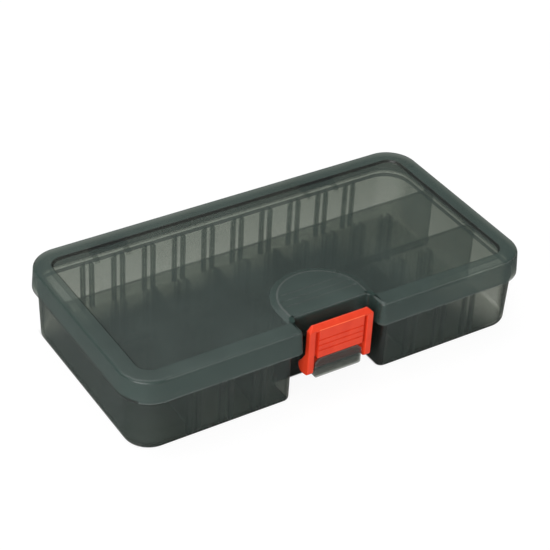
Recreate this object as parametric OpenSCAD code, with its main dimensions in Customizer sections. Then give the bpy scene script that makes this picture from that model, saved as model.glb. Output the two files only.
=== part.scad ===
// Flat pocket tackle box: a moulded tray in three rows with slots for divider plates, a hinged lid
// with a raised rim and a thumb pad, and a bright latch on the front.
// Origin: centre of the lid in plan, on the surface that the tray stands on. +X right, +Y back, +Z up.

/* [Case] */
// Width of the lid, left to right
lid_w = 186; // [160:1:230]
// Depth of the lid, front to back, without the hinges
lid_d = 98; // [94:1:120]
// Height of the closed box
case_h = 34.5; // [32:0.5:45]
// Corner radius of the lid in plan
corner_r = 14; // [13:0.5:18]
// Gap between the closed lid and the tray's rim
lid_gap = 0.2; // [0.1:0.05:0.4]

/* [Lid] */
// Wall thickness of the lid
lid_wall = 1.6; // [1.2:0.1:1.7]
// Depth of the lid's skirt from the top of the rim
skirt_h = 10.3; // [9:0.1:11]
// Draft of the skirt over its depth
lid_draft = 0.6; // [0.2:0.1:0.9]
// Radius of the lid's top edge
lid_edge_r = 1.5; // [0.8:0.1:2]
// Width of the raised rim round the lid's panel
rim_w = 8.2; // [7.5:0.1:9.5]
// Height of the rim over the panel
rim_step = 1; // [0.6:0.1:1.2]
// Width of the sloped step from the rim to the panel
step_w = 0.5; // [0.3:0.1:0.9]

/* [Thumb pad] */
// Radius of the pad's flat top
pad_r = 17.9; // [15:0.1:19]
// Distance of the pad's centre from the lid's front edge
pad_from_front = 16.8; // [14:0.1:19]
// Width of the pad's sloped side
pad_slope = 2.5; // [1:0.1:3]
// Distance of the first grip line behind the pad's centre
grip_from = 1; // [0:0.1:2]
// Distance between the pad's grip lines
grip_pitch = 3.6; // [2.5:0.1:4.2]
// Distance of a grip line's ends from the pad's edge
grip_margin = 2; // [0.5:0.1:4]
// Width of a grip line
grip_w = 0.5; // [0.3:0.05:0.8]
// Depth of a grip line
grip_depth = 0.3; // [0.2:0.05:0.5]

/* [Latch notch in the lid] */
// Width of the notch
notch_w = 35.6; // [33:0.2:36]
// Depth of the notch from the lid's front edge
notch_d = 10; // [9.5:0.1:10.6]
// Height of the catch ledge over the skirt's lower edge
ledge_up = 0.8; // [0.4:0.1:1.2]
// Reach of the catch ledge from the notch's back wall
ledge_reach = 2.9; // [2:0.1:3.2]
// Width of the catch ledge
ledge_w = 20; // [14:1:24]
// Thickness of the catch ledge
ledge_t = 1.6; // [1:0.1:2]

/* [Tray] */
// Overhang of the lid's skirt beyond the tray's wall
overhang = 2.3; // [2.2:0.05:2.8]
// Thickness of the tray's wall at its rim
tray_wall = 1.6; // [1.4:0.1:2.2]
// Thickness of the tray's floor
floor_t = 1.6; // [1.2:0.1:2.4]
// Radius between the tray's floor and its walls
floor_r = 0.8; // [0.4:0.1:1.2]
// Draft of the tray's outer wall over its depth
tray_draft = 0.6; // [0.2:0.1:0.7]
// Radius of the tray's bottom edge
foot_r = 1.8; // [0.8:0.1:2.2]
// Reach of the bead that centres the lid's skirt
bead = 0.35; // [0.2:0.05:0.4]
// Height of the bead
bead_h = 1.7; // [1:0.1:2]
// Gap between the bead and the skirt's lower edge
bead_gap = 0.35; // [0.2:0.05:0.8]

/* [Partitions and slots] */
// Thickness of the two moulded partitions
partition_t = 1.2; // [1:0.1:1.8]
// Distance of the rear partition from the tray's middle
rear_partition = 16; // [13:0.5:18]
// Distance of the front partition from the tray's middle
front_partition = 14.2; // [12:0.2:15]
// Drop of the partitions below the lid's panel
partition_drop = 0.5; // [0.3:0.1:2]
// Distance from one divider slot to the next
slot_pitch = 14.45; // [12:0.05:20]
// Least distance from an end wall to the first slot
end_bay = 23; // [14:1:30]
// Width of a slot
slot_w = 2; // [1.8:0.1:2.4]
// Width of each rib beside a slot
rib_w = 2.1; // [1.5:0.1:2.6]
// Depth of the ribs
rib_depth = 1.1; // [0.9:0.1:1.6]
// Height of the ribs' tops over the table
rib_top = 24.5; // [18:0.5:26]

/* [Divider plates] */
// Thickness of a divider plate
divider_t = 1.5; // [1.2:0.1:1.6]
// Height of a divider plate
divider_h = 26; // [16:0.5:27]
// Corner radius at a divider plate's top
divider_r = 2; // [0.5:0.5:4]
// Gap between a divider plate and the walls at its ends
divider_gap = 0.3; // [0.2:0.05:0.5]
// Size of the cut across a divider plate's lower corners
divider_cut = 0.9; // [0.5:0.1:2]

/* [Latch recess in the tray] */
// Width of the recess
recess_w = 42.6; // [41:0.2:46]
// Distance of the recess's back wall from the lid's front edge
recess_d = 15.2; // [14.4:0.1:16.5]
// Corner radius of the recess
recess_r = 2; // [1:0.1:3]

/* [Latch] */
// Width of the latch across its arms
latch_w = 30; // [27:0.5:31]
// Width of each arm
arm_w = 2.9; // [2.4:0.1:3.2]
// Set-back of the latch's face from the lid's front edge
latch_back = 1.8; // [1.5:0.1:2.2]
// Thickness of the latch's plate
plate_t = 2.3; // [2:0.1:2.6]
// Thickness of the plate at its lower edge
plate_tip = 1.2; // [0.8:0.1:1.3]
// Height of the plate's lower edge over the pivot
plate_low = 5.1; // [5:0.1:6]
// Drop of the latch's top below the lid's top
latch_drop = 1; // [0.4:0.1:2]
// Size of the chamfer along the latch's top
latch_chamfer = 1.7; // [1:0.1:1.8]
// Size of the cut across the latch's top corners
latch_corner = 2.1; // [1.8:0.1:2.4]
// Width of the groove between the plate and each arm
groove_w = 1.5; // [1:0.1:2]
// Depth of that groove
groove_depth = 0.5; // [0.3:0.1:0.7]
// Height of the lowest grip line over the plate's lower edge
line_from = 3.8; // [3:0.1:4.4]
// Distance between the grip lines on the plate
line_pitch = 2.6; // [2:0.1:3]
// Width of a grip line on the plate
line_w = 0.5; // [0.3:0.05:0.7]
// Depth of a grip line on the plate
line_depth = 0.3; // [0.2:0.05:0.5]
// Width of the hook behind the plate
hook_w = 18; // [12:1:20]
// Thickness of the hook
hook_t = 1.8; // [1.2:0.1:2]
// Height of the hook over the catch ledge
hook_rise = 0.4; // [0.3:0.1:0.8]
// Gap between the hook's nose and the ledge's nose
hook_gap = 0.3; // [0.2:0.05:0.6]

/* [Latch pivot] */
// Radius of the latch's pivot bar
bar_r = 2.2; // [1.8:0.1:2.3]
// Thickness of the arms' round feet about the bar
boss_t = 0.8; // [0.5:0.1:0.9]
// Height of the pivot bar's centre
bar_z = 12.6; // [12:0.1:14]
// Distance of the bar's centre behind the latch's face
bar_back = 4; // [3.8:0.1:4.4]
// Radial clearance of the bar and of the hinge pins
pin_clear = 0.05; // [0.02:0.01:0.1]
// Width of the clip that holds the bar
clip_w = 21.9; // [18:0.1:22.4]
// Distance of the clip's front face behind the latch's face
clip_back = 0.7; // [0.6:0.05:0.8]
// Drop of the clip's front plate below the bar's centre
clip_low = 5.1; // [4.6:0.1:5.6]
// Rise of the clip's front plate above the bar's centre
clip_high = 4.3; // [3.6:0.1:4.4]
// Thickness of the clip's ring and web
clip_t = 1.2; // [1:0.1:1.5]
// Rise of the ring's rear lip above the bar's centre
clip_lip = 1.2; // [0.6:0.1:1.6]
// Size of the cut across the clip's top corners
clip_corner = 2.2; // [1:0.1:2.6]

/* [Hinges] */
// Distance of each hinge from the box's middle
hinge_x = 52; // [40:1:60]
// Width of the lid's knuckle
knuckle_w = 12; // [8:0.5:16]
// Thickness of the web that joins the knuckle to the lid
knuckle_web = 1; // [0.8:0.1:1.4]
// Width of each of the tray's ears
ear_w = 2; // [1.5:0.25:4]
// Gap between a knuckle and an ear
ear_gap = 0.3; // [0.2:0.05:0.5]
// Radius of the knuckles and ears
knuckle_r = 2.2; // [2:0.1:2.5]
// Radius of the hinge pins moulded with the ears
pin_r = 1; // [0.8:0.05:1.2]
// Gap between the ears and the lid's rear face
hinge_gap = 0.2; // [0.15:0.05:0.4]
// Height of the hinge axis over the skirt's lower edge
hinge_up = 0.6; // [0.3:0.1:1]
// Depth of the ears' roots on the tray's wall
ear_root = 2.5; // [2:0.25:6]

/* [Hidden] */
// Sides of a circle, steps of an arc, depth that one shape sinks into the next, and reach of a cut
// past the surface that it opens
$fn = 96;
arc_steps = 5;
bite = 0.5;
past = 1;
smoke = [0.26, 0.30, 0.29, 0.75];
smoke_light = [0.36, 0.40, 0.38, 0.75];
latch_red = [0.91, 0.31, 0.21];

// Lid heights
skirt_z = case_h - skirt_h;
panel_z = case_h - rim_step;
rim_under = case_h - lid_wall;
panel_under = panel_z - lid_wall;
front_y = -lid_d / 2;
back_y = lid_d / 2;

// Tray sizes
tray_top = rim_under - lid_gap;
tray_w = lid_w - 2 * overhang;
tray_d = lid_d - 2 * overhang;
tray_r = corner_r - overhang;
tray_front = front_y + overhang;
inner_w = tray_w - 2 * tray_wall;
inner_d = tray_d - 2 * tray_wall;
bead_top = skirt_z - bead_gap;
partition_top = panel_under - partition_drop;
recess_y = front_y + recess_d;
recess_in = recess_y + tray_wall;
recess_wall_x = recess_w / 2 + tray_wall;

// Slots: one row of places along X, the same for every wall
slot_n = 1 + floor((inner_w - 2 * end_bay) / slot_pitch);
slot_x = [for (i = [0 : slot_n - 1]) (i - (slot_n - 1) / 2) * slot_pitch];
rib_in = (slot_w + 2 * rib_w) / 2;
left_slots = [for (i = [0 : slot_n - 1]) if (slot_x[i] + rib_in < -recess_wall_x) i];
next_to_recess = left_slots[len(left_slots) - 1];

// Pad, notch and catch
pad_y = front_y + pad_from_front;
notch_y = front_y + notch_d;
ledge_z = skirt_z + ledge_up;
ledge_nose = notch_y - ledge_reach;

// Latch
face_y = front_y + latch_back;
bar_y = face_y + bar_back;
latch_top = case_h - latch_drop;
plate_z = bar_z + plate_low;
plate_back = face_y + plate_t;
arm_back = plate_back + 0.4;
arm_in = latch_w / 2 - arm_w;
hook_z = ledge_z + ledge_t + hook_rise;
boss_r = bar_r + boss_t;
clip_y = face_y + clip_back;
clip_r = bar_y - clip_y;

// Hinges
hinge_y = back_y + hinge_gap + knuckle_r;
hinge_z = skirt_z + hinge_up;
pin_len = knuckle_w + 2 * ear_gap + ear_w;

// Points of an arc from angle a0 to a1
function arc(c, r, a0, a1, n = arc_steps) =
    [for (i = [0 : n]) let (a = a0 + (a1 - a0) * i / n) c + r * [cos(a), sin(a)]];

// Carries a wall profile round a rounded rectangle. A profile point is [distance out from the
// corner's centre, height].
module swept_wall(w, d, r, profile) {
    for (turn = [0, 180]) rotate([0, 0, turn]) {
        translate([-(w / 2 - r), d / 2 - r, 0]) rotate([90, 0, 90]) linear_extrude(w - 2 * r) polygon(profile);
        translate([w / 2 - r, d / 2 - r, 0]) rotate([90, 0, 0]) linear_extrude(d - 2 * r) polygon(profile);
        translate([w / 2 - r, d / 2 - r, 0]) rotate_extrude(angle = 90) polygon(profile);
        translate([-(w / 2 - r), d / 2 - r, 0]) rotate([0, 0, 90]) rotate_extrude(angle = 90) polygon(profile);
    }
}

// Upright block from low corner to high corner
module block(low, high) {
    translate(low) cube(high - low);
}

// Flat-sided plate across X, drawn in the YZ plane
module across(width, points) {
    translate([-width / 2, 0, 0]) rotate([90, 0, 90]) linear_extrude(width) polygon(points);
}

// Cylinder along X
module rod(r, width) {
    translate([-width / 2, 0, 0]) rotate([0, 90, 0]) cylinder(r = r, h = width);
}

// Prisms that cut the two top corners off a plate whose front face is at y
module corner_cuts(width, y, top, size) {
    side = size * sqrt(2);
    for (x = [-width / 2, width / 2])
        translate([x, y, top]) rotate([0, 45, 0]) cube([side, 4 * plate_t, side], center = true);
}

// Prism with rounded back corners and an open front, for the notch and the recess
module bay(w, y_front, y_back, r, z0, z1) {
    block([-w / 2, y_front, z0], [w / 2, y_back - r, z1]);
    block([-w / 2 + r, y_front, z0], [w / 2 - r, y_back, z1]);
    for (side = [-1, 1])
        translate([side * (w / 2 - r), y_back - r, z0]) cylinder(r = r, h = z1 - z0);
}

// ---- Tray ----

tray_profile = concat(
    [[0, 0]],
    arc([tray_r - tray_draft - foot_r, foot_r], foot_r, -90, 0),
    [
        [tray_r, bead_top - bead_h],
        [tray_r + bead, bead_top - bead_h + bead],
        [tray_r + bead, bead_top],
        [tray_r, bead_top],
        [tray_r, tray_top],
        [tray_r - tray_wall, tray_top]
    ],
    arc([tray_r - tray_wall - floor_r, floor_t + floor_r], floor_r, 0, -90, 3),
    [[0, floor_t]]
);

// One pair of ribs beside a slot, drawn from the front, with their outer top corners rounded
module rib_pair(depth) {
    for (side = [-1, 1]) mirror([side < 0 ? 1 : 0, 0, 0])
        rotate([90, 0, 0]) linear_extrude(depth) polygon(concat(
            [[slot_w / 2, floor_t - bite], [rib_in, floor_t - bite]],
            arc([rib_in - rib_w, rib_top - rib_w], rib_w, 0, 90, 4),
            [[slot_w / 2, rib_top]]
        ));
}

module partition(y) {
    reach = inner_w / 2 + bite;
    block([-reach, y - partition_t / 2, floor_t - bite], [reach, y + partition_t / 2, partition_top]);
    for (x = slot_x)
        translate([x, y + partition_t / 2 + rib_depth, 0]) rib_pair(partition_t + 2 * rib_depth);
}

module recess_walls() {
    difference() {
        bay(2 * recess_wall_x, tray_front + bite, recess_in, recess_r + tray_wall, 0, partition_top);
        bay(recess_w, front_y, recess_y, recess_r, -past, case_h);
    }
}

// Rounded outer corners where the front wall turns into the recess
module recess_mouth() {
    mouth_y = tray_front + tray_draft + recess_r;
    for (side = [-1, 1]) mirror([side < 0 ? 1 : 0, 0, 0])
        difference() {
            block([recess_w / 2 - past, front_y, -past], [recess_w / 2 + recess_r, mouth_y, case_h]);
            translate([recess_w / 2 + recess_r, mouth_y, -2 * past]) cylinder(r = recess_r, h = case_h + 3 * past);
        }
}

// Clip that holds the latch's bar: a flat front plate, a lower ring and a web to the recess's wall
module latch_clip() {
    ring_r = bar_r + pin_clear + clip_t;
    plate_y = bar_y - bar_r + 0.2;
    top = bar_z + clip_high;
    difference() {
        union() {
            across(clip_w, [
                [clip_y, bar_z - clip_low], [clip_y + clip_t, bar_z - clip_low],
                [plate_y, bar_z - ring_r * 0.8], [plate_y, top], [clip_y + 0.2, top], [clip_y, top - 0.2]
            ]);
            intersection() {
                translate([0, bar_y, bar_z]) rod(ring_r, clip_w);
                block([-clip_w, clip_y + clip_t / 2, 0], [clip_w, bar_y + ring_r + past, bar_z + clip_lip]);
            }
            block([-clip_w / 2, bar_y, bar_z - ring_r], [clip_w / 2, recess_y + tray_wall / 2, bar_z - ring_r + clip_t]);
        }
        translate([0, bar_y, bar_z]) rod(bar_r + pin_clear, clip_w + 2 * past);
        corner_cuts(clip_w, clip_y, top, clip_corner);
    }
}

// Hinge ears on the tray's rear wall, with the pin between them
module tray_hinge() {
    root_y = back_y - overhang - tray_wall / 2;
    root_z = skirt_z - bite;
    for (side = [-1, 1])
        translate([side * (knuckle_w / 2 + ear_gap + ear_w / 2), 0, 0]) {
            across(ear_w, [
                [root_y, root_z], [root_y, root_z - ear_root],
                [hinge_y + knuckle_r * cos(40), hinge_z - knuckle_r * sin(40)],
                [hinge_y, hinge_z], [hinge_y - knuckle_r * 0.6, root_z]
            ]);
            translate([0, hinge_y, hinge_z]) rod(knuckle_r, ear_w);
        }
    translate([0, hinge_y, hinge_z]) rod(pin_r, pin_len);
}

module tray() {
    color(smoke_light) difference() {
        union() {
            difference() {
                union() {
                    swept_wall(lid_w, lid_d, corner_r, tray_profile);
                    block([-(lid_w / 2 - corner_r), -(lid_d / 2 - corner_r), 0],
                          [lid_w / 2 - corner_r, lid_d / 2 - corner_r, floor_t]);
                    for (x = slot_x) {
                        translate([x, inner_d / 2 + tray_wall / 3, 0]) rib_pair(tray_wall / 3 + rib_depth);
                        if (abs(x) - rib_in > recess_wall_x)
                            translate([x, -inner_d / 2 + rib_depth, 0]) rib_pair(tray_wall / 3 + rib_depth);
                        if (abs(x) + rib_in < recess_w / 2)
                            translate([x, recess_in + rib_depth, 0]) rib_pair(tray_wall / 3 + rib_depth);
                    }
                }
                bay(recess_w, front_y, recess_y, recess_r, -past, case_h);
            }
            recess_walls();
        }
        recess_mouth();
    }
    color(smoke_light) {
        partition(rear_partition);
        partition(-front_partition);
        latch_clip();
        for (side = [-1, 1]) translate([side * hinge_x, 0, 0]) tray_hinge();
    }
}

// ---- Lid ----

rim_inner = corner_r - rim_w + 0.75 * lid_wall;

lid_profile = concat(
    [[0, panel_under], [rim_inner, panel_under], [rim_inner, rim_under]],
    [[corner_r - lid_wall - lid_draft, rim_under], [corner_r - lid_wall, skirt_z], [corner_r, skirt_z]],
    arc([corner_r - lid_draft - lid_edge_r, case_h - lid_edge_r], lid_edge_r, 0, 90),
    [[corner_r - rim_w, case_h], [corner_r - rim_w - step_w, panel_z], [0, panel_z]]
);

// Half-round pad level with the rim, with a sloped side
module pad_block(r, slope, z0, z1) {
    side = [[0, z0], [r + slope, z0], [r, z1], [0, z1]];
    translate([0, pad_y, 0]) {
        rotate_extrude(angle = 180) polygon(side);
        rotate([90, 0, 0]) linear_extrude(pad_from_front - rim_w + past)
            polygon([[-r - slope, z0], [r + slope, z0], [r, z1], [-r, z1]]);
    }
}

module grip_lines() {
    for (i = [0 : 2]) {
        from = grip_from + i * grip_pitch;
        half = sqrt(pad_r * pad_r - from * from) - grip_margin;
        block([-half, pad_y + from - grip_w / 2, case_h - grip_depth],
              [half, pad_y + from + grip_w / 2, case_h + past]);
    }
}

module notch_walls() {
    difference() {
        bay(notch_w + 2 * lid_wall, front_y + bite, notch_y + lid_wall, recess_r, skirt_z, rim_under + lid_wall / 2);
        bay(notch_w, front_y - past, notch_y, recess_r / 2, 0, case_h + past);
    }
    block([-ledge_w / 2, ledge_nose, ledge_z], [ledge_w / 2, notch_y + lid_wall / 2, ledge_z + ledge_t]);
}

// C-shaped knuckle that snaps over the hinge pin
module lid_knuckle() {
    mouth = 1.7 * pin_r;
    difference() {
        union() {
            translate([0, hinge_y, hinge_z]) rod(knuckle_r, knuckle_w);
            block([-knuckle_w / 2, back_y - lid_wall / 2, hinge_z + knuckle_r - knuckle_web],
                  [knuckle_w / 2, hinge_y, hinge_z + knuckle_r]);
        }
        translate([0, hinge_y, hinge_z]) rod(pin_r + pin_clear, knuckle_w + 2 * past);
        translate([0, hinge_y, hinge_z]) rotate([40, 0, 0])
            block([-knuckle_w, -mouth / 2, -2 * knuckle_r], [knuckle_w, mouth / 2, 0]);
    }
}

module lid() {
    color(smoke) difference() {
        union() {
            swept_wall(lid_w, lid_d, corner_r, lid_profile);
            block([-(lid_w / 2 - corner_r), -(lid_d / 2 - corner_r), panel_under],
                  [lid_w / 2 - corner_r, lid_d / 2 - corner_r, panel_z]);
            pad_block(pad_r, pad_slope, panel_z - lid_wall / 2, case_h);
        }
        pad_block(pad_r - pad_slope, 0, panel_under - past, rim_under);
        bay(notch_w, front_y - past, notch_y, recess_r / 2, 0, case_h + past);
        grip_lines();
    }
    color(smoke) {
        notch_walls();
        for (side = [-1, 1]) translate([side * hinge_x, 0, 0]) lid_knuckle();
    }
}

// ---- Latch ----

// Arm outline in the YZ plane: a round foot about the bar, a straight front and a chamfered top
arm_outline = concat(
    [[arm_back, latch_top], [face_y + latch_chamfer, latch_top], [face_y, latch_top - latch_chamfer]],
    arc([face_y + 2, bar_z - boss_r + 2.4], 2, 180, 270, 4),
    arc([bar_y, bar_z], boss_r, -90, 60, 8),
    [[arm_back, plate_z + 2]]
);

plate_outline = [
    [plate_back, latch_top], [face_y + latch_chamfer, latch_top], [face_y, latch_top - latch_chamfer],
    [face_y, plate_z + 0.5], [face_y + 0.5, plate_z], [face_y + plate_tip, plate_z],
    [plate_back, plate_z + plate_t - plate_tip]
];

module latch() {
    line_half = arm_in - groove_w - line_w;
    color(latch_red) difference() {
        union() {
            across(2 * arm_in + bite, plate_outline);
            for (side = [-1, 1])
                translate([side * (latch_w - arm_w) / 2, 0, 0]) across(arm_w, arm_outline);
            translate([0, bar_y, bar_z]) rod(bar_r, 2 * arm_in + bite);
            block([-hook_w / 2, plate_back - bite, hook_z], [hook_w / 2, ledge_nose - hook_gap, hook_z + hook_t]);
        }
        for (side = [-1, 1])
            translate([side * (arm_in - groove_w / 2), 0, 0])
                block([-groove_w / 2, face_y - past, 0], [groove_w / 2, face_y + groove_depth, case_h]);
        for (i = [0 : 2])
            translate([0, 0, plate_z + line_from + i * line_pitch])
                block([-line_half, face_y - past, -line_w / 2], [line_half, face_y + line_depth, line_w / 2]);
        corner_cuts(latch_w, face_y, latch_top, latch_corner);
    }
}

// ---- Divider plates ----

module divider(x, y0, y1) {
    color(smoke_light) translate([x - divider_t / 2, 0, 0]) rotate([90, 0, 90]) linear_extrude(divider_t)
        polygon(concat(
            [[y0 + divider_cut, floor_t], [y1 - divider_cut, floor_t], [y1, floor_t + divider_cut]],
            arc([y1 - divider_r, floor_t + divider_h - divider_r], divider_r, 0, 90),
            arc([y0 + divider_r, floor_t + divider_h - divider_r], divider_r, 90, 180),
            [[y0, floor_t + divider_cut]]
        ));
}

module middle_divider(slot) {
    divider(slot_x[slot], -front_partition + partition_t / 2 + divider_gap, rear_partition - partition_t / 2 - divider_gap);
}

module front_divider(slot) {
    divider(slot_x[slot], -inner_d / 2 + divider_gap, -front_partition - partition_t / 2 - divider_gap);
}

tray();
lid();
latch();
middle_divider(1);  // divider_middle_left
middle_divider(3);  // divider_middle_centre
middle_divider(5);  // divider_middle_right
front_divider(left_slots[0]);  // divider_front_left
front_divider(next_to_recess);  // divider_front_centre
front_divider(slot_n - 1 - next_to_recess);  // divider_front_right
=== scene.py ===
import bpy
import bmesh
import numpy as np
from math import radians, sin, cos
from mathutils import Matrix, Vector


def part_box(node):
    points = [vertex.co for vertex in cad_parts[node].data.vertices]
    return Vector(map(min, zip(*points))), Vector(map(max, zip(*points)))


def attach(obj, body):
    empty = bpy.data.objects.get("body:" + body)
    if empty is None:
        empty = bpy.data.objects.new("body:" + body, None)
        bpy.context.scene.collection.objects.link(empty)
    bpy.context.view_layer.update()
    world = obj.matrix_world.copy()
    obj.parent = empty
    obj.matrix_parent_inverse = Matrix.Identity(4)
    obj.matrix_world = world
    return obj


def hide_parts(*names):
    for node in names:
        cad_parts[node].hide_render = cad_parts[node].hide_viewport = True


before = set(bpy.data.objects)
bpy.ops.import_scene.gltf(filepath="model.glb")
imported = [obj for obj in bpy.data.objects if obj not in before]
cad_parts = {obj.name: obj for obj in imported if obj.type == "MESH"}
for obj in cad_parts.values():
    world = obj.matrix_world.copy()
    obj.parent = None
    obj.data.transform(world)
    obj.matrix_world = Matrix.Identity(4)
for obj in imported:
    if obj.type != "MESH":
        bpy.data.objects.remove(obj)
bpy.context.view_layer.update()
mm = 0.001


# sRGB hex to linear red, green, blue
def linear(hexColour):
    parts = [int(hexColour[i:i + 2], 16) / 255 for i in (1, 3, 5)]
    return tuple(c / 12.92 if c <= 0.04045 else ((c + 0.055) / 1.055) ** 2.4 for c in parts)


# one node with its settings, its socket values and what feeds its sockets
def addNode(tree, kind, settings=None, values=None, links=None):
    node = tree.nodes.new(kind)
    for key, value in (settings or {}).items():
        setattr(node, key, value)
    for key, value in (values or {}).items():
        node.inputs[key].default_value = value
    for key, source in (links or {}).items():
        tree.links.new(source, node.inputs[key])
    return node


# gives a socket what it takes: the socket that feeds it, an sRGB hex colour or a plain number
def feed(tree, socket, value):
    if isinstance(value, bpy.types.NodeSocket):
        tree.links.new(value, socket)
    elif isinstance(value, str):
        socket.default_value = (*linear(value), 1)
    else:
        socket.default_value = value


def compute(tree, operation, *inputs):
    node = addNode(tree, "ShaderNodeMath", {"operation": operation})
    for i, value in enumerate(inputs):
        feed(tree, node.inputs[i], value)
    return node.outputs[0]


# goes from 0 at start to 1 at end and stays there
def ramp(tree, value, start, end, kind="LINEAR"):
    return addNode(tree, "ShaderNodeMapRange", {"interpolation_type": kind},
                   {"From Min": start, "From Max": end}, {"Value": value}).outputs[0]


# from the first colour to the second by a factor
def blend(tree, factor, first, second):
    mix = addNode(tree, "ShaderNodeMix", {"data_type": "RGBA"}, links={0: factor})
    feed(tree, mix.inputs["A"], first)
    feed(tree, mix.inputs["B"], second)
    return mix.outputs["Result"]


def mixShaders(tree, factor, first, second):
    return addNode(tree, "ShaderNodeMixShader", links={0: factor, 1: first, 2: second}).outputs[0]


# noise that rides on the object, with features of a size in mm
def noise(tree, size, detail):
    place = addNode(tree, "ShaderNodeTexCoord")
    return addNode(tree, "ShaderNodeTexNoise", values={"Scale": 1 / (size * mm), "Detail": detail},
                   links={"Vector": place.outputs["Object"]}).outputs[0]


def bumps(tree, height, strength, depth):
    return addNode(tree, "ShaderNodeBump", values={"Strength": strength, "Distance": depth * mm},
                   links={"Height": height}).outputs[0]


# red, green and blue of the face attribute that holds the painted edge highlights, the milky rim and the painted
# dark shade
def rimAndPaintedLightMarks(tree):
    rimAndPaintedLight = addNode(tree, "ShaderNodeAttribute", {"attribute_name": "rimAndPaintedLight"})
    return addNode(tree, "ShaderNodeSeparateColor", links={0: rimAndPaintedLight.outputs["Color"]}).outputs


# 1 for what the camera sees, also through the plastic, and 0 for what only lights or is mirrored
def seenByCamera(tree):
    path = addNode(tree, "ShaderNodeLightPath")
    return compute(tree, "MAXIMUM", path.outputs["Is Camera Ray"], path.outputs["Is Transmission Ray"])


def newMaterial(name):
    material = bpy.data.materials.new(name)
    material.use_nodes = True
    material.node_tree.nodes.clear()
    return material, material.node_tree


# angles in degrees, lengths along the image plane in metres; found by fitting the box's corners
view = {
    "azimuth": -33.534, "elevation": 35.647, "roll": 3.201, "distance": 726.57 * mm,
    "focalPixels": 1757.2, "framePixels": 550, "sensor": 36.0, "near": 0.01,
    "target": (0, 0, 17.25 * mm), "slideRight": -0.982 * mm, "slideUp": 6.037 * mm,
}


def makeCamera(v):
    a, e, roll = (radians(v[k]) for k in ("azimuth", "elevation", "roll"))
    back = Vector((sin(a) * cos(e), -cos(a) * cos(e), sin(e)))
    right = Vector((cos(a), sin(a), 0))
    up = back.cross(right)
    camRight = right * cos(roll) + up * sin(roll)
    camUp = up * cos(roll) - right * sin(roll)
    eye = Vector(v["target"]) + camRight * v["slideRight"] + camUp * v["slideUp"] + back * v["distance"]
    data = bpy.data.cameras.new("camera")
    data.sensor_width = v["sensor"]
    data.lens = v["focalPixels"] / v["framePixels"] * v["sensor"]
    data.clip_start = v["near"]
    camera = bpy.data.objects.new("camera", data)
    camera.matrix_world = Matrix((
        (camRight.x, camUp.x, back.x, eye.x), (camRight.y, camUp.y, back.y, eye.y),
        (camRight.z, camUp.z, back.z, eye.z), (0, 0, 0, 1)))
    bpy.context.scene.collection.objects.link(camera)
    bpy.context.scene.camera = camera
    print("camera placed")


lamps = {
    "overhead": {"at": (-0.1, 0.35, 1.1), "aim": (0, 0, 0), "size": (1.2, 0.8), "watts": 8.5},
    "side": {"at": (-1.0, -0.68, 0.5), "aim": (0, 0, 0), "size": (0.9, 0.7), "watts": 11.5},
}


def makeLamps():
    for name, l in lamps.items():
        data = bpy.data.lights.new(name, "AREA")
        data.shape = "RECTANGLE"
        data.size, data.size_y = l["size"]
        data.energy = l["watts"]
        lamp = bpy.data.objects.new(name, data)
        lamp.location = l["at"]
        way = Vector(l["aim"]) - Vector(l["at"])
        lamp.rotation_euler = way.to_track_quat("-Z", "Y").to_euler()
        bpy.context.scene.collection.objects.link(lamp)
    print("lamps placed")


backdrop = {"worldColour": "#FFFFFF", "worldStrength": 0.45}


# plain white surround: strength 1 where the camera sees it, softer as a light
def makeWorld(b):
    world = bpy.data.worlds.new("studio")
    bpy.context.scene.world = world
    world.use_nodes = True
    tree = world.node_tree
    tree.nodes.clear()
    glow = compute(tree, "MULTIPLY_ADD", seenByCamera(tree), 1 - b["worldStrength"], b["worldStrength"])
    sky = addNode(tree, "ShaderNodeBackground", values={"Color": (*linear(b["worldColour"]), 1)},
                  links={"Strength": glow})
    addNode(tree, "ShaderNodeOutputWorld", links={"Surface": sky.outputs[0]})
    print("surround set")


# shade: how much of the paint's own shading is kept outside the box's foot, so a faint contact shadow stays.
# footX, footY and footCorner are where the foot's outline stands at the ends and in front. Under the box the
# board has a darker paint, a painted shadow; light comes in under the box from the right and the rear, where the
# painted shadow fades between the two lengths; slant turns the right one, so that it reaches further in at the
# rear.
floorPlan = {
    "size": 3.0, "drop": 0.03 * mm, "colour": "#E6E6E6", "paintedShadowColour": "#8A8A88", "shade": 0.12,
    "roughness": 0.7, "gloss": 0.2, "whiteStrength": 1.05,
    "footX": 89.2 * mm, "footY": 45.0 * mm, "footCorner": 10.0 * mm, "footSoft": 0.3 * mm,
    "right": (56 * mm, 86 * mm), "slant": 0.35, "rear": (33 * mm, 45 * mm),
    "bayX": 21.45 * mm, "bayY": -33.55 * mm, "mouth": 2.6 * mm,
}


# distance from a corner's centre, counted only past it in each direction
def cornerReach(tree, awayX, awayY):
    past = [compute(tree, "MAXIMUM", away, 0.0) for away in (awayX, awayY)]
    corner = addNode(tree, "ShaderNodeCombineXYZ", links={"X": past[0], "Y": past[1]})
    length = addNode(tree, "ShaderNodeVectorMath", {"operation": "LENGTH"}, links={0: corner.outputs[0]})
    return length.outputs["Value"]
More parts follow.
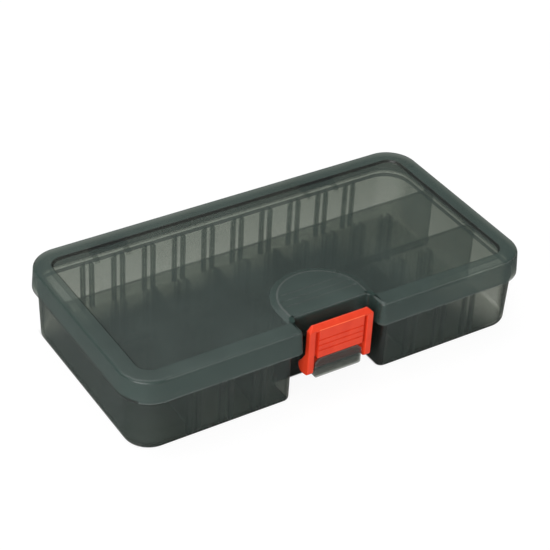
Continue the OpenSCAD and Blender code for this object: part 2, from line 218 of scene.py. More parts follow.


# board: white to the camera round the box, with darker paint under it as a painted shadow
def makeFloor(f):
    half, drop = f["size"] / 2, f["drop"]
    mesh = bpy.data.meshes.new("floor")
    mesh.from_pydata([(-half, -half, -drop), (half, -half, -drop), (half, half, -drop), (-half, half, -drop)],
                     [], [(0, 1, 2, 3)])
    floor = bpy.data.objects.new("floor", mesh)
    bpy.context.scene.collection.objects.link(floor)
    material, tree = newMaterial("paintedBoard")
    place = addNode(tree, "ShaderNodeTexCoord")
    apart = addNode(tree, "ShaderNodeSeparateXYZ", links={0: place.outputs["Object"]})
    x, y = apart.outputs["X"], apart.outputs["Y"]
    sizeX = compute(tree, "ABSOLUTE", x)
    soft = f["footSoft"]
    # past the rounded foot, at either end and in front
    reach = cornerReach(tree, compute(tree, "SUBTRACT", sizeX, f["footX"] - f["footCorner"]),
                        compute(tree, "SUBTRACT", f["footCorner"] - f["footY"], y))
    fades = [ramp(tree, reach, f["footCorner"] - soft, f["footCorner"] + soft)]
    slanted = compute(tree, "MULTIPLY_ADD", y, f["slant"], x)
    for source, side in ((slanted, "right"), (y, "rear")):
        fades.append(ramp(tree, source, *f[side], "SMOOTHSTEP"))
    # depth inside the latch's bay, round the corners of its mouth and from its back, where the board is bare of
    # the painted shadow
    bend = cornerReach(tree, compute(tree, "SUBTRACT", f["bayX"] + f["mouth"], sizeX),
                       compute(tree, "SUBTRACT", f["mouth"] - f["footY"], y))
    inBay = compute(tree, "MINIMUM", compute(tree, "SUBTRACT", bend, f["mouth"]),
                    compute(tree, "SUBTRACT", f["bayY"], y))
    fades.append(ramp(tree, inBay, -soft, soft))
    # bare is 1 where the board shows its own colour and 0 under the box, where the darker paint is a painted
    # shadow
    bare = fades[0]
    for fade in fades[1:]:
        bare = compute(tree, "MAXIMUM", bare, fade)
    shown = compute(tree, "MULTIPLY", bare, seenByCamera(tree))
    kept = compute(tree, "MULTIPLY", shown, 1 - f["shade"])
    paint = addNode(tree, "ShaderNodeBsdfPrincipled", values={
        "Roughness": f["roughness"], "Specular IOR Level": f["gloss"]},
        links={"Base Color": blend(tree, bare, f["paintedShadowColour"], f["colour"])})
    white = addNode(tree, "ShaderNodeEmission", values={
        "Color": (1, 1, 1, 1), "Strength": f["whiteStrength"]})
    mix = mixShaders(tree, kept, paint.outputs[0], white.outputs[0])
    addNode(tree, "ShaderNodeOutputMaterial", links={"Surface": mix})
    mesh.materials.append(material)
    print("board laid")


def matt(tree, roughness, colour):
    shader = addNode(tree, "ShaderNodeBsdfPrincipled", values={
        "Roughness": roughness, "Specular IOR Level": 0.0})
    feed(tree, shader.inputs["Base Color"], colour)
    return shader.outputs[0]


# Smoked polystyrene, injection moulded and polished: light is soaked up through its thickness, the pigment
# gives a thin milky veil, and the surface has a soft gloss that grows at a glance. A face attribute holds in red
# the rounded edges, where a lighter veil is a painted highlight, in green the milky rim, and in blue the corners
# and lines where a dark veil is painted shade; each has its own colour and its own share of the veil.
def smokedPlastic(name, p):
    material, tree = newMaterial(name)
    marks = rimAndPaintedLightMarks(tree)
    low, high, least, most = p["patchy"]
    patchy = addNode(tree, "ShaderNodeMapRange", values={
        "From Min": low, "From Max": high, "To Min": least, "To Max": most},
        links={"Value": noise(tree, p["mottle"], p["mottleDetail"])}).outputs[0]
    share, colour = p["veilShare"], p["veil"]
    for mark, key in zip(marks, ("edge", "rim", "line")):
        share = compute(tree, "MULTIPLY_ADD", mark, p[key + "Share"] - p["veilShare"], share)
        colour = blend(tree, mark, colour, p[key])
    share = compute(tree, "MULTIPLY", share, patchy)
    clear = addNode(tree, "ShaderNodeBsdfTransparent", values={"Color": (1, 1, 1, 1)})
    body = mixShaders(tree, share, clear.outputs[0], matt(tree, p["matt"], colour))
    normal = bumps(tree, noise(tree, p["ripple"], p["rippleDetail"]), p["rippleStrength"], p["rippleDepth"])
    facing = addNode(tree, "ShaderNodeLayerWeight", values={"Blend": 0.5}, links={"Normal": normal})
    facing = facing.outputs["Facing"]
    # seen edge-on, a dark matt colour is painted in as shade, standing in for light trapped in the wall
    edgeOnShade = compute(tree, "MULTIPLY", compute(tree, "POWER", facing, p["edgePower"]), p["edgeDark"])
    thick = mixShaders(tree, edgeOnShade, body, matt(tree, p["matt"], p["deep"]))
    # share of light that the outer side throws back, by Schlick's fifth power of (1 - cos)
    schlick = compute(tree, "MULTIPLY_ADD", compute(tree, "POWER", facing, 5), p["glance"], p["faceOn"])
    geo = addNode(tree, "ShaderNodeNewGeometry")
    shine = compute(tree, "MULTIPLY", schlick, compute(tree, "SUBTRACT", 1, geo.outputs["Backfacing"]))
    worn = compute(tree, "MULTIPLY", patchy, p["roughness"])
    gloss = addNode(tree, "ShaderNodeBsdfGlossy", links={
        "Roughness": compute(tree, "MULTIPLY_ADD", marks[0], p["edgeRough"], worn), "Normal": normal})
    tint = addNode(tree, "ShaderNodeVolumeAbsorption", values={
        "Color": (*linear(p["tint"]), 1), "Density": p["density"]})
    addNode(tree, "ShaderNodeOutputMaterial", links={
        "Surface": mixShaders(tree, shine, thick, gloss.outputs[0]), "Volume": tint.outputs[0]})
    return material


# mottle is the size of the cloudy flow marks and ripple that of the slow waves of the mould, both in mm; patchy
# takes the noise from between its first two values to between its last two
# edge and edgeShare are the painted highlight on rounded edges, line and lineShare the painted dark shade, and
# deep the dark colour painted in as shade where a wall is seen edge-on
smoke = {
    "veil": "#8CB0A8", "veilShare": 0.056, "edge": "#A8BAB4", "edgeShare": 0.14, "rim": "#40524D",
    "rimShare": 0.55, "line": "#161C1A", "lineShare": 0.65, "deep": "#3A4440", "edgeDark": 0.9, "edgePower": 3,
    "glance": 0.12, "faceOn": 0.04, "roughness": 0.36, "edgeRough": 0.2, "matt": 0.6,
    "tint": "#7B8264", "density": 410, "mottle": 22, "mottleDetail": 3.0, "patchy": (0.3, 0.7, 0.85, 1.15),
    "ripple": 14, "rippleDetail": 1.0, "rippleStrength": 0.15, "rippleDepth": 0.1,
}
# the tray, with less pigment than the lid
clearer = dict(smoke, veilShare=0.03, density=395, lineShare=0.7)
# partitions and ribs, whose edges show as faint painted dark shade lines
ribbing = dict(clearer, lineShare=0.45, density=700)
# the loose dividers, of a lighter grade
plate = dict(smoke, veilShare=0.03, density=300, lineShare=0.2)
# the latch's clip, streaked with pigment, with a larger share of painted highlight on its edges
clip = dict(smoke, veil="#56605C", veilShare=0.25, edgeShare=0.3, density=900)


# Polypropylene dyed orange-red, injection moulded with a satin face: a strong even colour, broad soft
# highlights and a grain as fine as the mould's spark erosion, drawn 0.5 mm coarse so that it shows. Red of the
# face attribute marks the chamfer's crease, which is painted a lighter red as a highlight.
def redPlastic(name, p):
    material, tree = newMaterial(name)
    normal = bumps(tree, noise(tree, p["grain"], p["detail"]), p["grainStrength"], p["grainDepth"])
    dye = addNode(tree, "ShaderNodeValToRGB", links={"Fac": noise(tree, p["mottle"], p["detail"])})
    for stop, place, colour in zip(dye.color_ramp.elements, p["dyeStops"], (p["deep"], p["bright"])):
        stop.position = place
        stop.color = (*linear(colour), 1)
    # painted highlight: the chamfer's crease is painted a lighter red
    creaseHighlight = blend(tree, rimAndPaintedLightMarks(tree)[0], dye.outputs[0], p["crease"])
    shell = addNode(tree, "ShaderNodeBsdfPrincipled", values={
        "Roughness": p["roughness"], "Specular IOR Level": p["gloss"]},
        links={"Base Color": creaseHighlight, "Normal": normal})
    addNode(tree, "ShaderNodeOutputMaterial", links={"Surface": shell.outputs[0]})
    return material


# crease is the lighter red of the painted highlight on the chamfer's crease
red = {
    "deep": "#DC3A1E", "bright": "#E64426", "crease": "#FF6C44", "dyeStops": (0.3, 0.7), "mottle": 6,
    "detail": 2.0, "roughness": 0.42, "gloss": 0.25, "grain": 0.5, "grainStrength": 0.12, "grainDepth": 0.05,
}


# points on a circle or ellipse: centre + (rx cos a, ry sin a), a in equal steps from a0 to a1 degrees
def arcPoints(centre, rx, ry, a0, a1, steps):
    a = np.radians(np.linspace(a0, a1, steps + 1))
    return np.stack([centre[0] + rx * np.cos(a), centre[1] + ry * np.sin(a)], axis=1)


# rounded corners of a rectangle, from the front right one round by the rear to the front left one
def cornerArcs(hx, hy, r, steps):
    return np.concatenate([
        arcPoints((hx - r, -hy + r), r, r, -90, 0, steps), arcPoints((hx - r, hy - r), r, r, 0, 90, steps),
        arcPoints((-hx + r, hy - r), r, r, 90, 180, steps), arcPoints((-hx + r, -hy + r), r, r, 180, 270, steps)])


# corners of the bay take six steps; no radius goes under least; a small rounding is drawn with one point between
# its ends, which stands at midway of its width from either face
baySteps, least, midway = 6, 0.05, 0.3


# plan of a rounded rectangle with a bay cut into its front, drawn in by inset at the outside and bayInset round
# the bay: each corner's radius is its own less the inset, or plus it where the corner is hollow
def caseLoop(p, inset, bayInset):
    hx, hy = p["halfX"] - inset, p["halfY"] - inset
    bx, rb = p["bayX"] + bayInset, p["bayCorner"] + bayInset
    by = p["bayY"] + bayInset
    rx, ry = max(p["mouth"] - bayInset, least), max(p["mouth"] - inset, least)
    return np.concatenate([
        arcPoints((-bx - rx, -hy + ry), rx, ry, -90, 0, baySteps),
        arcPoints((-bx + rb, by - rb), rb, rb, 180, 90, baySteps),
        arcPoints((bx - rb, by - rb), rb, rb, 90, 0, baySteps),
        arcPoints((bx + rx, -hy + ry), rx, ry, 180, 270, baySteps),
        cornerArcs(hx, hy, max(p["corner"] - inset, least), p["steps"])])


# rings of a wall: the plan drawn in by each profile row (inset, bay inset, height, bay height), where the height
# goes from the outside's to the bay's along the mouth's corners
def wallRings(plan, rows):
    m, n = baySteps + 1, plan["steps"] + 1
    inBay = np.concatenate([np.linspace(0, 1, m), np.ones(2 * m), np.linspace(1, 0, m), np.zeros(4 * n)])
    rings = []
    for inset, bayInset, z, bayZ in rows:
        ring = caseLoop(plan, inset, bayInset)
        rings.append(np.column_stack([ring, z + (bayZ - z) * inBay]))
    return np.array(rings)


# quads between neighbouring rings of a grid, each ring closed on itself
def bandFaces(rows, count, start):
    i, j = np.arange(rows - 1)[:, None], np.arange(count)[None, :]
    a, b = start + i * count + j, start + i * count + (j + 1) % count
    return np.stack([a, b, b + count, a + count], axis=2).reshape(-1, 4)


# turns each face's mark, which rides on its material index while the mesh is built, into red, green or blue of
# the face attribute: 1 a rounded edge with a painted highlight, 2 the milky rim, 3 painted dark shade in a corner
# or line
def keepRimAndPaintedLight(mesh):
    marks = np.empty(len(mesh.polygons), np.int32)
    mesh.polygons.foreach_get("material_index", marks)
    colours = np.array([(0, 0, 0, 1), (1, 0, 0, 1), (0, 1, 0, 1), (0, 0, 1, 1)], np.float32)[marks]
    mesh.attributes.new("rimAndPaintedLight", "FLOAT_COLOR", "FACE").data.foreach_set("color", colours.ravel())
    mesh.polygons.foreach_set("material_index", np.zeros_like(marks))


# a mesh from points in mm, with a mark for each face, and the same mesh opened for editing
def openMesh(name, verts, faces, marks):
    mesh = bpy.data.meshes.new(name)
    mesh.from_pydata((np.concatenate(verts) * mm).tolist(), [], faces)
    mesh.polygons.foreach_set("material_index", np.concatenate(marks).astype(np.int32))
    bm = bmesh.new()
    bm.from_mesh(mesh)
    return mesh, bm


def closeMesh(mesh, bm):
    bm.to_mesh(mesh)
    bm.free()
    keepRimAndPaintedLight(mesh)
    return mesh


# one closed shell: bands of rings, welded where they share a ring, with the level openings left over closed
# flat. bands are (rings, marks), where each mark (value, rows, columns) marks strips; flatMarks does so by
# height for the flats
def shellMesh(name, bands, flatMarks):
    verts, faces, marks, start = [], [], [], 0
    for rings, strips in bands:
        k, n = rings.shape[:2]
        verts.append(rings.reshape(-1, 3))
        faces.append(bandFaces(k, n, start))
        grid = np.zeros((k - 1, n), int)
        for value, rows, columns in strips:
            columns = np.arange(n) if columns is None else np.array(columns) % n
            grid[np.ix_(list(rows), columns)] = value
        marks.append(grid.ravel())
        start += k * n
    mesh, bm = openMesh(name, verts, np.concatenate(faces).tolist(), marks)
    bmesh.ops.remove_doubles(bm, verts=bm.verts, dist=0.002 * mm)
    rims = {}
    for e in [e for e in bm.edges if e.is_boundary]:
        rims.setdefault(round(e.verts[0].co.z / mm, 2), []).append(e)
    for z, edges in rims.items():
        made = bmesh.ops.triangle_fill(bm, use_beauty=True, edges=edges)
        for f in made["geom"]:
            if isinstance(f, bmesh.types.BMFace):
                f.material_index = flatMarks.get(z, 0)
    bmesh.ops.recalc_face_normals(bm, faces=bm.faces)
    print(name, len(bm.faces), "faces,", sum(e.is_boundary for e in bm.edges), "open edges")
    return closeMesh(mesh, bm)


# a profile drawn across an axis and pushed straight along it from low to high; lit sides are marked as edges with
# a painted highlight
def prism(profile, axis, low, high, lit=()):
    profile = np.asarray(profile, float)
    n = len(profile)
    j = np.arange(n)
    place = 0 if axis == "X" else 1
    verts = np.concatenate([np.insert(profile, place, at, axis=1) for at in (low, high)])
    sides = np.stack([j, (j + 1) % n, (j + 1) % n + n, j + n], axis=1).tolist()
    return verts, sides + [j[::-1].tolist(), (j + n).tolist()], np.isin(np.arange(n + 2), list(lit))


def boxProfile(a, b):
    return [(a[0], a[1]), (b[0], a[1]), (b[0], b[1]), (a[0], b[1])]


def circleProfile(centre, r, steps=32):
    return arcPoints(centre, r, r, 0, 360 - 360 / steps, steps - 1)


# several prisms in one mesh; cuts are (point, outward normal) of planes that take corners off, and then edges
# that turn by more than 40 degrees are rounded and given mark: 1 a painted highlight, 3 painted dark shade, -1
# for none; clamp narrows what would overlap
def solidsMesh(name, solids, cuts=(), width=0, steps=2, mark=0, clamp=True):
    verts, faces, marks, start = [], [], [], 0
    for v, f, lit in solids:
        verts.append(v)
        faces += [[start + i for i in face] for face in f]
        marks.append(lit)
        start += len(v)
    mesh, bm = openMesh(name, verts, faces, marks)
    for point, normal in cuts:
        cut = bmesh.ops.bisect_plane(bm, geom=bm.verts[:] + bm.edges[:] + bm.faces[:], dist=1e-7,
                                     plane_co=Vector(point) * mm, plane_no=normal, clear_outer=True)
        edges = [e for e in cut["geom_cut"] if isinstance(e, bmesh.types.BMEdge)]
        bmesh.ops.edgeloop_fill(bm, edges=edges)
    bmesh.ops.recalc_face_normals(bm, faces=bm.faces)
    if width:
        sharp = [e for e in bm.edges if len(e.link_faces) == 2 and e.calc_face_angle(0) > radians(40)]
        bmesh.ops.bevel(bm, geom=sharp, offset=width * mm, offset_type="OFFSET", segments=steps, profile=0.5,
                        affect="EDGES", clamp_overlap=clamp, material=mark)
    return closeMesh(mesh, bm)


# puts a mesh in the scene as a piece of a body; it has one material, as absorption counts from skin to skin
def makePiece(name, mesh, body, nodes, material):
    mesh.materials.append(material)
    mesh.polygons.foreach_set("use_smooth", np.ones(len(mesh.polygons), bool))
    mesh.set_sharp_from_angle(angle=radians(50))
    piece = bpy.data.objects.new(name, mesh)
    bpy.context.scene.collection.objects.link(piece)
    soft = piece.modifiers.new("evenNormals", "WEIGHTED_NORMAL")
    soft.keep_sharp = True
    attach(piece, body)
    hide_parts(*nodes)


# all lengths in mm; insets are drawn in from the lid's outline. shadow: (inset, height over the lip) of two more
# rings low on the skirt
lidPlan = {"halfX": 93, "halfY": 49, "corner": 14, "bayX": 17.8, "bayY": -39, "bayCorner": 1, "mouth": 2.8,
           "steps": 18}
lid = {
    "top": 34.5, "skirtZ": 24.2, "wall": 1.6, "draft": 0.6, "edge": 1.5, "lip": 0.3,
    "shadow": ((0.02, 0.4), (0.05, 1.2)), "rim": 8.2, "step": 1.0, "stepWidth": 0.5,
    "padR": 17.9, "padSlope": 2.5, "padY": -32.2, "padCorner": 1.2, "padRound": 0.4,
    "lines": 3, "lineFrom": 1, "linePitch": 3.6, "lineMargin": 2, "lineWidth": 0.5, "lineDepth": 0.3,
    "lineTaper": 0.08, "hollow": 7, "hollowDraft": 0.3, "hollowPadR": 15.4, "notchX": 20.6, "notchY": -36.2,
    "rimSteps": 12, "padSteps": 64, "padCornerSteps": 4, "hollowSteps": 48, "edgeSteps": 8,
}


# the lid's outline drawn in: its four corners
def lidCorners(inset):
    return cornerArcs(lidPlan["halfX"] - inset, lidPlan["halfY"] - inset, lidPlan["corner"] - inset,
                      lid["rimSteps"])


# inner line of the rim with the pad standing into it: rounded rectangle whose front runs round a half disc
def padLoop(inset, padR, corner):
    hy, n = lidPlan["halfY"] - inset, lid["padCornerSteps"]
    return np.concatenate([
        arcPoints((-padR - corner, -hy + corner), corner, corner, -90, 0, n),
        arcPoints((0, lid["padY"]), padR, padR, 180, 0, lid["padSteps"]),
        arcPoints((padR + corner, -hy + corner), corner, corner, 180, 270, n),
        lidCorners(inset)])


# sloped step between two plan lines: straight slope of height drop over width w, joined to the flats by
# parabolas z = top - k (s + e)^2 / 4e above and z = bottom + k (w + e - s)^2 / 4e below, with k = drop / w.
# Each has its points at these shares of e, and e is at most this share of the width.
parabolaAt, widest = (-1, -0.33, 0.33, 1), 0.45


def stepRings(upper, lower, top, drop, e):
    way = lower - upper
    w = np.linalg.norm(way, axis=1, keepdims=True)
    way = way / w
    e = np.minimum(e, widest * w)
    k = drop / w
    rings = []
    for t in parabolaAt:
        s = e * t
        rings.append(np.column_stack([upper + way * s, top - k * (s + e) ** 2 / (4 * e)]))
    for t in parabolaAt:
        s = w + e * t
        rings.append(np.column_stack([upper + way * s, top - drop + k * (w + e - s) ** 2 / (4 * e)]))
    return np.array(rings)


# a grip line sunk in the pad: a slot with round ends, narrower at its floor
def lineRings(half, y):
    width, depth, taper, top = lid["lineWidth"], lid["lineDepth"], lid["lineTaper"], lid["top"]
    rings = []
    for w, z in ((width / 2 + taper, top), (width / 2, top - depth * midway), (width / 2 - taper, top - depth)):
        loop = np.concatenate([arcPoints((half, y), w, w, -90, 90, 6), arcPoints((-half, y), w, w, 90, 270, 6)])
        rings.append(np.column_stack([loop, np.full(len(loop), z)]))
    return np.array(rings)


# line between the rim's hollow and the panel's underside; it goes round the notch's walls and the pad's hollow
def underLoop(g, z):
    hy = lidPlan["halfY"] - lid["hollow"] - g
    x, y, r = lid["notchX"] + g, lid["notchY"] + g, lid["hollowPadR"] + g
    left = np.array([(-x, -hy), (-x, y), (-r, y)], float)
    loop = np.concatenate([left, arcPoints((0, lid["padY"]), r, r, 180, 0, lid["hollowSteps"]),
                           left[::-1] * (-1, 1), lidCorners(lid["hollow"] + g)])
    return np.column_stack([loop, np.full(len(loop), z)])


def makeLid(material):
    top, low, wall, lip = lid["top"], lid["skirtZ"], lid["wall"], lid["lip"]
    under, draft, edge, mid = top - wall, lid["draft"], lid["edge"], lip * midway
    rows = [(wall + draft + lip, under), (wall + draft, under - lip), (wall, low + lip), (wall - mid, low + mid),
            (wall - lip, low), (lip, low), (mid, low + mid), (0, low + lip)]
    rows += [(d, low + lip + z) for d, z in lid["shadow"]]
    rows += [(draft + edge * (1 - cos(t)), top - edge * (1 - sin(t)))
             for t in np.radians(np.linspace(0, 90, lid["edgeSteps"] + 1))]
    skirt = wallRings(lidPlan, [(d, d, z, z) for d, z in rows])
    step = stepRings(padLoop(lid["rim"], lid["padR"], lid["padCorner"]),
                     padLoop(lid["rim"] + lid["stepWidth"], lid["padR"] + lid["padSlope"], lid["padCorner"]),
                     top, lid["step"], lid["padRound"])
    # rows 5 to 7 are the skirt's lower edge, 8 the strip above it and 9 to 17 its wall and rounded top; the
    # front takes the columns from -10 to 36, bay and corners with it, its lit crest those from -1, the rear 44
    # to 77 and the left end 78 to 93; columns 0 to 73 of the step are the pad's side
    front, crest, rear, left, pad = range(-10, 37), range(-1, 37), range(44, 78), range(78, 94), range(74)
    # marks: 2 the milky rim on the skirt and the top; 3 painted dark shade on the skirt's lower edge, at the rear
    # on its rounded top, on the strip above the lower edge at the left end and on the step round the rim; 1 a
    # painted highlight on the front's lower edge, the lit crest, the pad's upper edge, and the grip lines with
    # their floors. Along the pad the step's lower part is milky rim.
    bands = [(skirt, ((2, range(5, 18), None), (3, (5, 6, 7), None), (1, (5, 6, 7), front),
                      (1, (13, 14), crest), (3, range(11, 16), rear), (3, (8,), left))),
             (step, ((3, range(7), None), (2, (3, 4, 5, 6), pad), (1, (0, 1, 2), pad)))]
    for i in range(lid["lines"]):
        away = lid["lineFrom"] + i * lid["linePitch"]
        half = np.sqrt(lid["padR"] ** 2 - away ** 2) - lid["lineMargin"]
        bands.append((lineRings(half, lid["padY"] + away), ((1, (0, 1), None),)))
    hollow = np.array([underLoop(0, under), underLoop(lid["hollowDraft"], under - lid["step"])])
    bands.append((hollow, ()))
    mesh = shellMesh("lidShell", bands, {round(top, 2): 2, round(top - lid["lineDepth"], 2): 1})
    makePiece("lidShell", mesh, "lid", ["lid"], material)
    print("lid made")


# catch ledge in the notch, and the two clip-on knuckles: a ring open towards the rear and below, on a thin web;
# openFrom and openTo are the opening's angles at the outside and at the bore
lidFittings = {
    "ledgeHalf": 10, "ledgeFrom": (-41.9, 25.0), "ledgeTo": (-38.2, 26.6), "edge": 0.2,
    "hingeX": 52, "hingeY": 51.4, "hingeZ": 24.8, "knuckleHalf": 6, "knuckleR": 2.2, "boreR": 1.05,
    "openFrom": (-27.3, 4.0), "openTo": (287.3, 256.0), "webFrom": (48.2, 26.0), "webTo": (51.4, 27.0),
    "outSteps": 32, "boreSteps": 24,
}


def makeLidFittings(material):
    f = lidFittings
    centre = (f["hingeY"], f["hingeZ"])
    ring = np.concatenate([
        arcPoints(centre, f["knuckleR"], f["knuckleR"], f["openFrom"][0], f["openTo"][0], f["outSteps"]),
        arcPoints(centre, f["boreR"], f["boreR"], f["openTo"][1], f["openFrom"][1], f["boreSteps"])])
    solids = [prism(boxProfile(f["ledgeFrom"], f["ledgeTo"]), "X", -f["ledgeHalf"], f["ledgeHalf"])]
    for side in (-1, 1):
        x0, x1 = side * f["hingeX"] - f["knuckleHalf"], side * f["hingeX"] + f["knuckleHalf"]
        solids.append(prism(ring, "X", x0, x1))
        solids.append(prism(boxProfile(f["webFrom"], f["webTo"]), "X", x0, x1))
    # the rounded edges carry mark 1, a painted highlight
    mesh = solidsMesh("lidFittings", solids, width=f["edge"], mark=1)
    makePiece("lidFittings", mesh, "lid", ["lid"], material)
    print("lid fittings made")


# beadSlope: (how far out, height) of two points of the bead's lower slope, in depths of the bead
trayPlan = {"halfX": 90.7, "halfY": 46.7, "corner": 11.7, "bayX": 21.3, "bayY": -33.8, "bayCorner": 2,
            "mouth": 3.2, "steps": 18}
tray = {
    "top": 32.7, "bayTop": 31.4, "wall": 1.6, "floor": 1.6, "draft": 0.6, "foot": 1.8, "bayFoot": 0.8,
    "bead": 0.35, "beadLow": 22.15, "beadHigh": 23.85, "beadSlope": ((0.9, 1), (1, 1.3)), "beadEdge": 0.15,
    "lip": 0.3, "floorRound": 0.8, "footSteps": 8, "floorSteps": 4,
}


def makeTray(material):
    t = tray
    rows = []
    for a in np.radians(np.linspace(-90, 0, t["footSteps"] + 1)):
        inward = 1 - cos(a)
        rows.append((t["draft"] + t["foot"] * inward, t["bayFoot"] * inward, t["foot"] * (1 + sin(a))))
    b, low, high, edge = t["bead"], t["beadLow"], t["beadHigh"], t["beadEdge"]
    rows += [(0, 0, low)] + [(-b * out, 0, low + b * up) for out, up in t["beadSlope"]]
    rows += [(-b, 0, high - edge), (-b + edge, 0, high), (0, 0, high)]
    rows = [(i, j, z, z) for i, j, z in rows]
    wall, lip, mid = t["wall"], t["lip"], t["lip"] * midway
    for d, z in ((0, -lip), (mid, -mid), (lip, 0), (wall - lip, 0), (wall - mid, -mid), (wall, -lip)):
        rows.append((d, d, t["top"] + z, t["bayTop"] + z))
    r = t["floorRound"]
    for a in np.radians(np.linspace(0, 90, t["floorSteps"] + 1)):
        d, z = wall + r * (1 - cos(a)), t["floor"] + r * (1 - sin(a))
        rows.append((d, d, z, z))
    # rows 0 to 5 are the foot's rounding, 6 to 14 the wall and 9 to 12 its bead; the bay takes the first 28
    # columns, and the front those from -10 to 36
    # all three marks are painted dark shade: on the foot's rounding at the front, on the bay's walls and on the
    # bead under the skirt
    marks = ((3, range(6), range(-10, 37)), (3, range(6, 15), range(3, 25)), (3, (9, 10, 11, 12), None))
    mesh = shellMesh("trayShell", [(wallRings(trayPlan, rows), marks)], {})
    makePiece("trayShell", mesh, "tray", ["tray"], material)
    print("tray made")


# partitions, and the pairs of ribs that hold the divider plates; all stand on the floor and run into the walls
trayInside = {
    "reach": 89.6, "partitions": (16.0, -14.2), "partitionHalf": 0.6, "partitionTop": 31.4, "root": 1.1,
    "slots": 10, "pitch": 14.45, "slotHalf": 1.0, "rib": 2.1, "ribTop": 24.5, "ribDepth": 1.1, "sunk": 0.5,
    "backY": 45.1, "frontY": -45.1, "bayInY": -32.2, "bayOut": 22.9, "bayHalf": 21.3, "edge": 0.3, "steps": 6,
}


def makeTrayInside(material):
    t = trayInside
    thick, depth, sunk = t["partitionHalf"], t["ribDepth"], t["sunk"]
    solids = []
    for y in t["partitions"]:
        profile = boxProfile((y - thick, t["root"]), (y + thick, t["partitionTop"]))
        solids.append(prism(profile, "X", -t["reach"], t["reach"]))
    near, far = t["slotHalf"], t["slotHalf"] + t["rib"]
    rib = np.concatenate([[(near, t["root"]), (far, t["root"])],
                          arcPoints((near, t["ribTop"] - t["rib"]), t["rib"], t["rib"], 0, 90, t["steps"])])
    walls = [(y - thick - depth, y + thick + depth, "whole") for y in t["partitions"]]
    walls += [(t["backY"] - depth, t["backY"] + sunk, "whole"),
              (t["frontY"] - sunk, t["frontY"] + depth, "outsideBay"),
              (t["bayInY"] - sunk, t["bayInY"] + depth, "behindBay")]
    for x in (np.arange(t["slots"]) - (t["slots"] - 1) / 2) * t["pitch"]:
        for y0, y1, kind in walls:
            if kind == "outsideBay" and abs(x) - far < t["bayOut"]:
                continue
            if kind == "behindBay" and abs(x) + far > t["bayHalf"]:
                continue
            for side in (-1, 1):
                solids.append(prism(rib * (side, 1) + (x, 0), "Y", y0, y1))
    # the rounded edges carry mark 3, painted dark shade lines
    mesh = solidsMesh("trayInside", solids, width=t["edge"], mark=3)
    makePiece("trayInside", mesh, "tray", ["tray"], material)
    print("partitions and ribs made")


# clip that the latch's bar turns in; outArc and inArc are the ring's angles at its outside and inside
latchClip = {
    "clipHalf": 10.95, "clipLow": 7.5, "clipTop": 16.9, "clipCorner": 2.2, "clipFoot": 0.7, "clipFront": -46.5,
    "clipBack": -45.5, "blockTop": 10.1, "blockBack": -43.4, "barY": -43.2, "barZ": 12.6,
    "ringIn": 2.25, "ringOut": 3.45, "outArc": (-145, 20), "inArc": (32, -150), "ringSteps": 24,
    "webTop": 10.35, "webBack": -33.0, "edge": 0.25,
}


def makeLatchClip(material):
    f = latchClip
    h, c, top = f["clipHalf"], f["clipCorner"], f["clipTop"]
    foot, low, block = f["clipFoot"], f["clipLow"], f["blockTop"]
    base = [(-h + foot, low), (h - foot, low), (h, low + foot)]
    end = [(-h, low + foot)]
    front = base + [(h, top - c), (h - c, top), (-h + c, top), (-h, top - c)] + end
    bar = (f["barY"], f["barZ"])
    ring = np.concatenate([arcPoints(bar, f["ringOut"], f["ringOut"], *f["outArc"], f["ringSteps"]),
                           arcPoints(bar, f["ringIn"], f["ringIn"], *f["inArc"], f["ringSteps"])])
    web = boxProfile((f["barY"], f["barZ"] - f["ringOut"]), (f["webBack"], f["webTop"]))
    solids = [prism(front, "Y", f["clipFront"], f["clipBack"]),
              prism(base + [(h, block), (-h, block)] + end, "Y", f["clipBack"], f["blockBack"]),
              prism(ring, "X", -h, h), prism(web, "X", -h, h)]
    # the rounded edges carry mark 1, a painted highlight
    mesh = solidsMesh("latchClip", solids, width=f["edge"], mark=1)
    makePiece("latchClip", mesh, "tray", ["tray"], material)
    print("latch clip made")


# ears that stand on the bead, with the pins between them
hingeEars = {
    "hingeX": 52, "hingeY": 51.4, "hingeZ": 24.8, "earR": 2.2, "earHalf": 1.0, "earAt": 7.3, "pinR": 1.0,
    "pinHalf": 7.3, "ear": [(45.9, 23.7), (45.9, 21.2), (53.085, 23.386), (51.4, 24.8), (50.08, 23.7)],
    "edge": 0.25,
}


def makeHingeEars(material):
    f = hingeEars
    solids = []
    pivot = (f["hingeY"], f["hingeZ"])
    pin, eye = circleProfile(pivot, f["pinR"]), circleProfile(pivot, f["earR"])
    for middle in (-f["hingeX"], f["hingeX"]):
        solids.append(prism(pin, "X", middle - f["pinHalf"], middle + f["pinHalf"]))
        for x in (middle - f["earAt"], middle + f["earAt"]):
            solids.append(prism(f["ear"], "X", x - f["earHalf"], x + f["earHalf"]))
            solids.append(prism(eye, "X", x - f["earHalf"], x + f["earHalf"]))
    mesh = solidsMesh("hingeEars", solids, width=f["edge"])
    makePiece("hingeEars", mesh, "tray", ["tray"], material)
    print("hinge ears made")


# six loose plates with rounded tops; raised is the hair's breadth between a plate and the floor below it
dividers = {"topRound": 2.0, "footCut": 0.9, "raised": 0.04, "edge": 0.3, "steps": 8}


def makeDividers(material):
    d = dividers
    r, c, n = d["topRound"], d["footCut"], d["steps"]
    for node in [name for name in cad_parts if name.startswith("divider")]:
        low, high = (np.array(v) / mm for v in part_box(node))
        y0, y1, z0, z1 = low[1], high[1], low[2] + d["raised"], high[2]
        profile = np.concatenate([
            [(y0 + c, z0), (y1 - c, z0), (y1, z0 + c)], arcPoints((y1 - r, z1 - r), r, r, 0, 90, n),
            arcPoints((y0 + r, z1 - r), r, r, 90, 180, n), [(y0, z0 + c)]])
        # the rounded edges carry mark 3, painted dark shade lines
        mesh = solidsMesh(node + "Plate", [prism(profile, "X", low[0], high[0])], width=d["edge"], mark=3)
        makePiece(node + "Plate", mesh, "tray", [node], material)
    print("dividers made")


